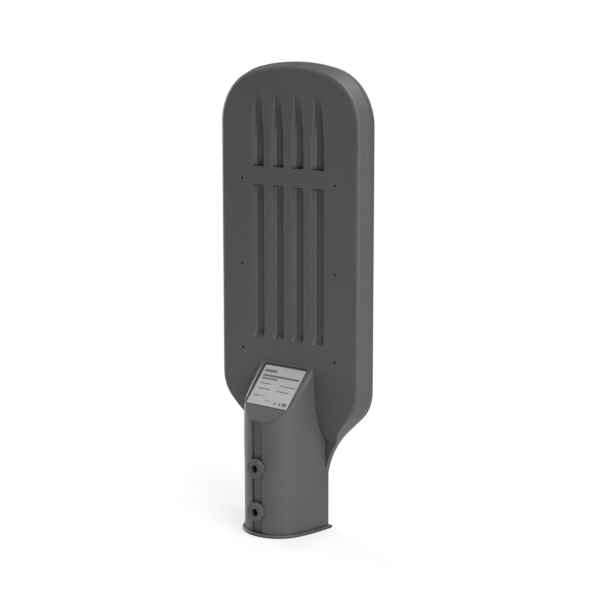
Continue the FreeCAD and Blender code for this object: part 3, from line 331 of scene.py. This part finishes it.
def cast_coat():
    """Dark grey powder coat on a casting.

    It has a fine grain, slow waves and a paler tone on what faces up. Its colour is darkened
    deep in corners as painted shade, and its outer edges are softened.
    """
    coat = Finish("cast_grey_coat", IOR=1.5)
    grain = coat.noise(COAT_GRAIN, detail=3.0, rough=0.6)
    waves = coat.noise(COAT_WAVES)
    cloud = coat.noise(COAT_CLOUDS, detail=4.0)
    facing = coat.node("ShaderNodeNewGeometry", output="Normal")
    # Paler tone on surfaces that face up, more in clouds
    paler_up = coat.ease(coat.axis("Z", facing), 0.2, 1.0) * (PALE_UP_LEAST + PALE_UP_CLOUDS * cloud)
    tone = coat.blend(cloud, COAT_DARK, COAT_LIGHT)
    speckled = coat.blend(coat.ease(grain, 0.35, 0.7), tone, COAT_SPECK)
    paled_up = coat.blend(paler_up, speckled, COAT_PALE_UP)
    # Painted shade: ambient occlusion darkens the coat's colour deep in corners and recesses
    open_sky = coat.node("ShaderNodeAmbientOcclusion", {"samples": CORNER_SAMPLES}, output="AO",
                         Distance=CORNER_REACH)
    painted_corner_shade = coat.node("ShaderNodeVectorMath", {"operation": "SCALE"}, _0=paled_up, Scale=CORNER_PAINTED_SHADE)
    coat.wear(Base_Color=coat.blend(coat.ease(open_sky, 0.35, 0.85), painted_corner_shade, paled_up),
              Roughness=0.46 + 0.12 * grain + 0.08 * waves)
    rounded = coat.node("ShaderNodeBevel", {"samples": EDGE_SAMPLES}, Radius=EDGE_RADIUS)
    softened = coat.bend(coat.ease(open_sky, 0.6, 0.9), facing, rounded)
    coat.bump(grain * 0.6 + waves, COAT_TEXTURE, Normal=softened)
    return coat.material


def moulded(name, colour, roughness=0.45):
    """Moulded plastic or rubber: a light tooled texture and slightly uneven colour."""
    plastic = Finish(name)
    tooling = plastic.noise(0.8 * MM)
    cloud = plastic.noise(25 * MM)
    darker = [channel * 0.82 for channel in colour]
    plastic.wear(Base_Color=plastic.blend(cloud, darker, colour),
                 Roughness=roughness - 0.06 + 0.12 * tooling)
    plastic.bump(tooling, 0.02 * MM)
    return plastic.material


def turned_metal(name, colour, roughness=0.28):
    """Bare metal with fine tool marks and a few dull patches."""
    metal = Finish(name, Metallic=1.0)
    marks = metal.noise(1.5 * MM, detail=5.0, rough=0.7)
    patches = metal.noise(7 * MM, detail=3.0)
    dull = [channel * 0.7 for channel in colour]
    metal.wear(Base_Color=metal.blend(metal.ease(patches, 0.45, 0.75), colour, dull),
               Roughness=roughness + 0.2 * marks)
    metal.bump(marks, 0.01 * MM)
    return metal.material


def label_foil():
    """Pale foil with a faint drawn grain."""
    foil = Finish("label_foil", Metallic=0.25)
    stretched = foil.node("ShaderNodeMapping", Vector=foil.spot, Scale=(0.08, 1.0, 1.0))
    grain = foil.noise(0.5 * MM, detail=3.0, spot=stretched)
    soft = foil.noise(18 * MM)
    foil.wear(Base_Color=foil.blend(grain, FOIL_DARK, FOIL_LIGHT), Roughness=0.34 + 0.16 * grain)
    foil.bump(soft + 0.15 * grain, 0.12 * MM)
    return foil.material


def clear_lens():
    """Clear moulded plastic with slow flow marks."""
    lens = Finish("clear_lens", IOR=1.58, Transmission_Weight=1.0)
    flow = lens.noise(22 * MM)
    lens.wear(Base_Color=lens.blend(flow, LENS_TINT, LENS_CLEAR), Roughness=0.03 + 0.04 * flow)
    lens.bump(flow, 0.08 * MM)
    return lens.material


def led_cell(finish):
    """Place inside the cell of each light source, 0 to 1 across and along."""
    across = finish.axis("X") / LED_PITCH_X + LED_COLUMNS / 2
    along = (finish.axis("Z") - LED_MIDDLE) / LED_PITCH_Z + LED_ROWS / 2
    return finish.maths("FRACT", across), finish.maths("FRACT", along)


def lamp_board():
    """White solder mask with wide copper runs showing faintly under it."""
    board = Finish("white_board", Coat_Weight=0.4)
    across, along = led_cell(board)
    run = board.ease(board.maths("ABSOLUTE", across - 0.5), 0.16, 0.13)
    gap = board.ease(board.maths("ABSOLUTE", along - 0.02), 0.015, 0.03)
    cloud = board.noise(30 * MM)
    mask = board.blend(cloud, MASK_DULL, MASK_WHITE)
    board.wear(Base_Color=board.blend(run * gap * 0.35, mask, MASK_COPPER), Roughness=0.3 + 0.1 * cloud)
    board.bump(run * gap, 0.03 * MM)
    return board.material


def light_sources():
    """White packages with a round face of yellow phosphor."""
    chip = Finish("light_sources")
    across, along = (share - 0.5 for share in led_cell(chip))
    out = chip.maths("SQRT", across * across * (LED_PITCH_X**2) + along * along * (LED_PITCH_Z**2))
    face = chip.ease(out, 1.5 * MM, 1.35 * MM)
    grain = chip.noise(0.2 * MM, detail=3.0)
    phosphor = chip.blend(grain, PHOSPHOR_DEEP, PHOSPHOR_PALE)
    chip.wear(Base_Color=chip.blend(face, SOURCE_WHITE, phosphor), Roughness=0.4 + 0.3 * grain)
    chip.bump(face * -1.0, 0.1 * MM)
    return chip.material


def striped_lead():
    """Green insulation with yellow stripes."""
    lead = Finish("lead_green_yellow")
    grain = lead.noise(1 * MM)
    wave = lead.node("ShaderNodeTexWave", {"wave_type": "BANDS", "bands_direction": "DIAGONAL"}, Scale=60.0)
    stripe = lead.ease(wave, 0.55, 0.6)
    lead.wear(Base_Color=lead.blend(stripe, LEAD_GREEN, LEAD_YELLOW), Roughness=0.4 + 0.1 * grain)
    return lead.material


def slab(name, dark, light, roughness, size):
    """Flat sheet goods such as circuit board or tape: two close tones in soft clouds."""
    sheet = Finish(name)
    cloud = sheet.noise(size, detail=3.0)
    sheet.wear(Base_Color=sheet.blend(cloud, dark, light), Roughness=roughness + 0.15 * cloud)
    sheet.bump(cloud, 0.05 * MM)
    return sheet.material


def studio_floor():
    """Plain pale floor that the camera sees nearly white, with the soft shadow kept."""
    floor = Finish("studio_floor")
    soft = floor.noise(0.5)
    floor.wear(Base_Color=floor.blend(soft, FLOOR_DULL, FLOOR_PALE), Roughness=0.6 + 0.1 * soft)
    seen = floor.node("ShaderNodeLightPath", output="Is Camera Ray")
    glow = floor.node("ShaderNodeEmission", Color=WHITE, Strength=1.0)
    away = floor.node("ShaderNodeVectorMath", {"operation": "LENGTH"}, output="Value", _0=floor.spot)
    far = floor.ease(away, FLOOR_NEAR_REACH, FLOOR_FAR_REACH)
    white = FLOOR_NEAR + (FLOOR_FAR - FLOOR_NEAR) * far
    lit = Level(floor, floor.shader.outputs[0])
    mixed = floor.node("ShaderNodeMixShader", _0=seen * white, _1=lit, _2=glow)
    floor.fill(floor.tree.nodes["Material Output"], Surface=mixed)
    return floor.material


# Meshes


def new_object(name, data):
    """An object for a mesh, camera or light, put in the scene."""
    made = bpy.data.objects.new(name, data)
    bpy.context.scene.collection.objects.link(made)
    return made


class Shape:
    """Corners and faces gathered for one piece, joined where they meet."""

    def __init__(self):
        self.mesh = bmesh.new()

    def face(self, corners):
        self.mesh.faces.new([self.mesh.verts.new(corner) for corner in corners])

    def strip(self, low, high):
        """Faces between two closed runs of as many corners."""
        for index in range(len(low)):
            after = (index + 1) % len(low)
            self.face((low[index], low[after], high[after], high[index]))

    def fan(self, ring, tip):
        """Triangles from a closed run of corners to one corner."""
        for index, corner in enumerate(ring):
            self.face((corner, ring[(index + 1) % len(ring)], tip))

    def rings(self, rings, cap_start=False, cap_end=False):
        """Strips between each closed run of corners and the next."""
        for low, high in zip(rings, rings[1:]):
            self.strip(low, high)
        if cap_start:
            self.face(rings[0])
        if cap_end:
            self.face(rings[-1])

    def lace(self, outer, inner, turn):
        """Triangles between two closed runs of corners, both in the order of their turn about the middle."""
        runs = (outer, inner)
        last = [len(outer) - 1, len(inner) - 1]
        steps = [(turn(corner), side, index) for side in (0, 1) for index, corner in enumerate(runs[side])]
        for _, side, index in sorted(steps):
            self.face((runs[side][last[side]], runs[side][index], runs[1 - side][last[1 - side]]))
            last[side] = index

    def build(self, name, material):
        """Turn what was gathered into an object."""
        data = bpy.data.meshes.new(name)
        self.mesh.to_mesh(data)
        self.mesh.free()
        data.materials.append(material)
        return new_object(name, data)

    def make(self, name, material, stands_for=()):
        """Join the corners, face the normals outwards and hand the piece to the frame."""
        bmesh.ops.remove_doubles(self.mesh, verts=self.mesh.verts, dist=JOIN)
        bmesh.ops.recalc_face_normals(self.mesh, faces=self.mesh.faces)
        sharp = math.radians(SMOOTH_BELOW)
        for edge in self.mesh.edges:
            edge.smooth = len(edge.link_faces) == 2 and edge.calc_face_angle(0) < sharp
        for face in self.mesh.faces:
            face.smooth = True
        piece = self.build(name, material)
        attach(piece, "root")
        if stands_for:
            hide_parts(*stands_for)


def circle(x, y, z, radius, turns):
    """Corners on a circle that faces the front."""
    return [Vector((x + radius * math.cos(turn), y, z + radius * math.sin(turn))) for turn in turns]


def hexagon(x, y, z, half, turns):
    """Corners on a hexagon that faces the front, whose flats are half away from its middle."""
    ring = []
    for turn in turns:
        sector = turn % (math.pi / 3) - math.pi / 6
        ring += circle(x, y, z, half / math.cos(sector), [turn])
    return ring


def even_turns(count, start=0.0):
    """Angles round a circle, in radians; start is a share of the first step."""
    return [2 * math.pi * (step + start) / count for step in range(count)]


def row_of(middle, pitch, count):
    """Places at an even pitch about a middle."""
    return [middle + pitch * (index - (count - 1) / 2) for index in range(count)]


def islands(node):
    """Lowest and highest corner of each separate solid in a CAD node, in the node's own order."""
    copied = bmesh.new()
    copied.from_mesh(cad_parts[node].data)
    bmesh.ops.remove_doubles(copied, verts=copied.verts, dist=JOIN)
    seen = set()
    found = []
    for first in copied.verts:
        if first in seen:
            continue
        seen.add(first)
        waiting = [first]
        corners = []
        while waiting:
            corner = waiting.pop()
            corners.append(corner.co.copy())
            for edge in corner.link_edges:
                other = edge.other_vert(corner)
                if other not in seen:
                    seen.add(other)
                    waiting.append(other)
        low = Vector([min(corner[axis] for corner in corners) for axis in range(3)])
        high = Vector([max(corner[axis] for corner in corners) for axis in range(3)])
        found.append((low, high))
    copied.free()
    return found


# Lens plate


def reach_to(low, high, start, slope):
    """How far along a slope from start the edge ahead of it lies."""
    if abs(slope) <= TINY:
        return math.inf
    return ((high if slope > 0 else low) - start) / slope


def lens_cell(shape, x, z, sides, depth, dome):
    """One rectangle of a sheet with a dome in it; sides are its left, right, low and high edges."""
    left, right, low, high = sides
    radius, rise, steps = dome
    turns = even_turns(DOME_SIDES)
    for corner_x in (left, right):
        for corner_z in (low, high):
            turns.append(math.atan2(corner_z - z, corner_x - x) % (2 * math.pi))
    turns = sorted(set(round(turn, CELL_DIGITS) for turn in turns))
    edge = []
    for turn in turns:
        across, along = math.cos(turn), math.sin(turn)
        reach = min(reach_to(left, right, x, across), reach_to(low, high, z, along))
        edge.append(Vector((x + reach * across, depth, z + reach * along)))
    rings = [edge]
    for step in range(steps):
        lift = step / steps * math.pi / 2
        rings.append(circle(x, depth + rise * math.sin(lift), z, radius * math.cos(lift), turns))
    shape.rings(rings)
    shape.fan(rings[-1], Vector((x, depth + rise, z)))
    return edge


def lens_sheet(shape, turn, edges_x, edges_z, depth, dome):
    """One side of the plate, a cell to each light source; gives back its border in the order of turn."""
    border = {}
    for column, x in enumerate(row_of(0, LED_PITCH_X, LED_COLUMNS)):
        for row, z in enumerate(row_of(LED_MIDDLE, LED_PITCH_Z, LED_ROWS)):
            sides = (*edges_x[column:column + 2], *edges_z[row:row + 2])
            for corner in lens_cell(shape, x, z, sides, depth, dome):
                off_x = min(abs(corner.x - edges_x[0]), abs(corner.x - edges_x[-1]))
                off_z = min(abs(corner.z - edges_z[0]), abs(corner.z - edges_z[-1]))
                if min(off_x, off_z) < JOIN:
                    border[round(turn(corner), BORDER_DIGITS)] = corner
    return [border[key] for key in sorted(border)]


def make_lens(material):
    """Clear plate with a dome over each light source, a hollow under each and a skirt round the edge."""
    low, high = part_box("lens_plate")
    middle = (low + high) / 2
    front = high.y - DOME_RISE
    between_x = row_of(0, LED_PITCH_X, LED_COLUMNS - 1)
    between_z = row_of(LED_MIDDLE, LED_PITCH_Z, LED_ROWS - 1)

    def turn(corner):
        return math.atan2(corner.z - middle.z, corner.x - middle.x)

    shape = Shape()
    feet = []
    for inset, depth, dome in ((0, front, (DOME_RADIUS, DOME_RISE, DOME_STEPS)),
                               (LENS_SKIRT, front - LENS_THICK, (HOLLOW_RADIUS, HOLLOW_RISE, HOLLOW_STEPS))):
        edges_x = [low.x + inset, *between_x, high.x - inset]
        edges_z = [low.z + inset, *between_z, high.z - inset]
        border = lens_sheet(shape, turn, edges_x, edges_z, depth, dome)
        feet.append([Vector((corner.x, low.y, corner.z)) for corner in border])
        shape.strip(border, feet[-1])
    shape.lace(*feet, turn)
    shape.make("lens_clear", material, stands_for=["lens_plate"])


# Small pieces of the front


def make_cover_screws(material):
    """Pan head screws with a hexagon socket, one at each place where the CAD has one."""
    shape = Shape()
    turns = even_turns(SCREW_SIDES)
    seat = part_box("front_cover")[1].y
    for low, high in islands("cover_screws"):
        x, z = (low.x + high.x) / 2, (low.z + high.z) / 2
        head = high.y - seat
        profile = [(SCREW_SHANK, low.y), (SCREW_SHANK, seat)]
        profile += [(share * SCREW_HEAD, seat + rise * head) for share, rise in HEAD_PROFILE]
        profile.append((SOCKET_MOUTH, high.y))
        rings = [circle(x, depth, z, radius, turns) for radius, depth in profile]
        for sink in (SOCKET_CHAMFER, SOCKET_SHARE * head):
            rings.append(hexagon(x, high.y - sink, z, SOCKET_HALF, turns))
        shape.rings(rings, cap_start=True, cap_end=True)
    shape.make("cover_screw_heads", material, stands_for=["cover_screws"])


def make_light_sources(body, phosphor):
    """Square white packages with a sunk round face, and the yellow phosphor that fills it."""
    frames, faces = Shape(), Shape()
    turns = even_turns(LED_SIDES, start=0.5)
    for low, high in islands("led_packages"):
        x, z = (low.x + high.x) / 2, (low.z + high.z) / 2
        half = (high.x - low.x) / 2
        square = []
        for turn in turns:
            reach = half / max(abs(math.cos(turn)), abs(math.sin(turn)))
            square.append((reach * math.cos(turn), reach * math.sin(turn)))
        base, top = ([Vector((x + across, depth, z + along)) for across, along in square]
                     for depth in (low.y, high.y))
        rim = circle(x, high.y, z, OPENING_RIM * half, turns)
        foot = circle(x, high.y - PHOSPHOR_FOOT, z, OPENING_FOOT * half, turns)
        floor = circle(x, high.y - OPENING_DEPTH, z, OPENING_FOOT * half, turns)
        crown = circle(x, high.y - PHOSPHOR_EDGE, z, PHOSPHOR_CROWN * half, turns)
        frames.rings([base, top, rim, foot, floor], cap_start=True, cap_end=True)
        faces.rings([foot, crown], cap_start=True)
        faces.fan(crown, Vector((x, high.y - PHOSPHOR_MIDDLE, z)))
    frames.make("led_frames", body, stands_for=["led_packages"])
    faces.make("led_phosphor", phosphor)


# Label and clamp holes


def make_label_marks(material):
    """Plain bars laid on the label's face."""
    corners = [corner.co.copy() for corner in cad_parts["rating_label"].data.vertices]
    left, right = min(corner.x for corner in corners), max(corner.x for corner in corners)
    side = [corner for corner in corners if corner.x > right - LABEL_NEAR]
    side.sort(key=lambda corner: corner.z)
    lowest, highest = side[0].z + LABEL_THICK, side[-1].z - LABEL_THICK
    foot = min((corner for corner in side if corner.z < lowest), key=lambda corner: corner.y)
    head = min((corner for corner in side if corner.z > highest), key=lambda corner: corner.y)
    origin = Vector((left, foot.y, foot.z))
    across = Vector((right - left, 0, 0))
    along = head - foot
    out = along.cross(across).normalized()
    if out.y > 0:
        out = -out
    shape = Shape()
    for low_across, low_along, high_across, high_along in LABEL_BARS:
        bar = ((low_across, low_along), (high_across, low_along),
               (high_across, high_along), (low_across, high_along))
        rings = []
        for lift in MARK_LIFTS:
            rings.append([origin + across * share + along * rise + out * lift for share, rise in bar])
        shape.rings(rings, cap_start=True, cap_end=True)
    shape.make("label_marks", material)


def make_threads(material):
    """The inward crests of the thread in each clamp hole, as one winding ridge per hole; they are near
    black, as painted shade that makes the hole read dark.
    """
    for name, height in CLAMP_HEIGHTS:
        shape = Shape()
        rings = []
        for step in range(THREAD_TURNS * THREAD_SIDES + 1):
            turn = 2 * math.pi * step / THREAD_SIDES
            start = THREAD_START + THREAD_PITCH * step / THREAD_SIDES
            ring = []
            for radius, shift in THREAD_PROFILE:
                ring += circle(0, start + THREAD_PITCH * shift, height, radius, [turn])
            rings.append(ring)
        shape.rings(rings, cap_start=True, cap_end=True)
        shape.make(f"clamp_thread_{name}", material)


# Upper ends of the top grooves


def groove_section(below):
    """Depth of a top groove so far below its end, and half the width of its mouth."""
    lean = math.tan(math.radians(GROOVE_DRAFT))
    centre = GROOVE_DEPTH - (GROOVE_RUN**2 + GROOVE_DEPTH**2) / (2 * GROOVE_DEPTH)
    past = max(GROOVE_RUN - max(below, 0), 0)
    depth = max(centre + math.sqrt((GROOVE_DEPTH - centre) ** 2 - past**2), 0)
    floor_half = GROOVE_HALF - GROOVE_DEPTH * lean
    if depth < GROOVE_BEVEL:
        return depth, floor_half - GROOVE_BEVEL + depth * (1 + lean)
    return depth, floor_half + depth * lean


def make_groove_tips(material):
    """The fillets that draw the upper end of each top groove in to a point."""
    shape = Shape()
    lean = math.tan(math.radians(GROOVE_DRAFT))
    face = PLATE_BACK - TIP_PROUD
    for x in row_of(0, GROOVE_PITCH, GROOVES):
        for hand in (-1, 1):
            rings = []
            for step in range(TIP_STEPS + 1):
                below = TIP_OVER + (TIP_LONG - TIP_OVER) * (step / TIP_STEPS) ** TIP_CROWDING
                depth, edge = groove_section(below)
                half = min(GROOVE_HALF * (max(below, TIP_START) / TIP_LONG) ** TIP_POWER, edge)
                low = depth + TIP_SINK
                corners = ((edge + TIP_LAP, face), (half, face), (half - low * lean, PLATE_BACK + low),
                           (edge + TIP_LAP, PLATE_BACK + low))
                z = GROOVE_TIP - below
                rings.append([Vector((x + hand * max(across, 0), y, z)) for across, y in corners])
            shape.rings(rings, cap_start=True, cap_end=True)
    shape.make("groove_tips", material)


# Stage


def make_floor():
    """A wide plain floor under the object."""
    shape = Shape()
    shape.face([(x * FLOOR_REACH, y * FLOOR_REACH, 0) for x, y in ((-1, -1), (1, -1), (1, 1), (-1, 1))])
    shape.build("studio_floor", studio_floor())


def make_world():
    """Even dim surroundings that the camera sees white."""
    world = bpy.data.worlds.new("studio")
    bpy.context.scene.world = world
    sky = Graph(world)
    sky.fill(sky.tree.nodes["Background"], Color=WHITE, Strength=WORLD_LEVEL)
    dim = Level(sky, sky.tree.nodes["Background"].outputs[0])
    white = sky.node("ShaderNodeBackground", Color=WHITE, Strength=1.0)
    seen = sky.node("ShaderNodeLightPath", output="Is Camera Ray")
    mixed = sky.node("ShaderNodeMixShader", _0=seen, _1=dim, _2=white)
    sky.fill(sky.tree.nodes["World Output"], Surface=mixed)


def make_light(name, bearing, height, power):
    """A square soft light that looks at the object from a bearing."""
    light = bpy.data.lights.new(name, "AREA")
    light.size = LIGHT_SIZE
    light.energy = power
    turn, rise = math.radians(bearing), math.radians(height)
    away = Vector((math.sin(turn) * math.cos(rise), -math.cos(turn) * math.cos(rise), math.sin(rise)))
    lamp = new_object(name, light)
    lamp.location = AIM + LIGHT_AWAY * away
    lamp.rotation_euler = away.to_track_quat("Z", "Y").to_euler()


def make_camera():
    """The camera of the photograph, as fitted to it."""
    camera = new_object("camera", bpy.data.cameras.new("camera"))
    camera.data.sensor_width = SENSOR
    camera.data.lens = FOCAL_PIXELS * SENSOR / IMAGE_PIXELS
    back = -CAMERA_AHEAD.normalized()
    right = CAMERA_UP.cross(back).normalized()
    turn = Matrix((right, back.cross(right), back)).transposed()
    camera.matrix_world = Matrix.Translation(CAMERA_PLACE) @ turn.to_4x4()
    bpy.context.scene.camera = camera


# Everything in place

coat = cast_coat()
steel = turned_metal("stainless", STEEL)
brass = turned_metal("brass", BRASS, roughness=0.35)
grey_rubber = moulded("grey_silicone", (0.22, 0.22, 0.22), roughness=0.6)
black_rubber = moulded("black_rubber", (0.03, 0.03, 0.03), roughness=0.65)
black_nylon = moulded("black_nylon", (0.025, 0.025, 0.026), roughness=0.4)
white_nylon = moulded("white_nylon", (0.72, 0.72, 0.69), roughness=0.4)
FINISHES = {
    "housing": coat,
    "front_cover": coat,
    "cover_gasket": grey_rubber,
    "lens_gasket": grey_rubber,
    "cover_screws": steel,
    "board_screws": steel,
    "driver_screws": steel,
    "terminal_screws": steel,
    "earth_screw": steel,
    "earth_washer": steel,
    "earth_lug": brass,
    "thermal_pad": slab("pad_silicone", (0.30, 0.34, 0.38), (0.38, 0.42, 0.46), 0.6, 8 * MM),
    "led_board": lamp_board(),
    "led_packages": light_sources(),
    "board_connector": white_nylon,
    "lens_plate": clear_lens(),
    "driver_case": moulded("driver_plastic", (0.62, 0.62, 0.60), roughness=0.5),
    "driver_lid": moulded("driver_lid_plastic", (0.58, 0.58, 0.56), roughness=0.5),
    "driver_circuit": slab("circuit_green", (0.02, 0.12, 0.04), (0.03, 0.17, 0.06), 0.3, 12 * MM),
    "driver_transformer": slab("transformer_tape", (0.62, 0.45, 0.06), (0.70, 0.54, 0.10), 0.35, 6 * MM),
    "driver_capacitor": moulded("capacitor_sleeve", (0.03, 0.04, 0.09), roughness=0.3),
    "terminal_block": white_nylon,
    "gland_body": black_nylon,
    "gland_cap": black_nylon,
    "gland_locknut": black_nylon,
    "gland_seal": black_rubber,
    "rating_label": label_foil(),
    "earth_lead": striped_lead(),
    "output_lead_red": moulded("lead_red", (0.45, 0.02, 0.02), roughness=0.4),
    "output_lead_black": moulded("lead_black", (0.02, 0.02, 0.02), roughness=0.4),
    "input_lead_blue": moulded("lead_blue", (0.03, 0.10, 0.38), roughness=0.4),
    "input_lead_brown": moulded("lead_brown", (0.14, 0.06, 0.03), roughness=0.4),
}
for name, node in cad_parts.items():
    for slot in node.material_slots:
        slot.material = FINISHES[name]

make_lens(FINISHES["lens_plate"])
make_cover_screws(steel)
make_light_sources(moulded("package_white", (0.82, 0.82, 0.80), roughness=0.35),
                   slab("phosphor", (0.80, 0.60, 0.10), (0.88, 0.70, 0.18), 0.45, 0.3 * MM))
make_label_marks(moulded("label_print", PRINT_GREY, roughness=0.5))
# The threads are near black, as painted shade in the clamp holes
make_threads(turned_metal("thread_painted_shade", THREAD_PAINTED_SHADE, roughness=0.5))
make_groove_tips(coat)

make_floor()
make_world()
make_camera()
for light in LIGHTS:
    make_light(*light)
bpy.context.scene.view_settings.view_transform = "Standard"
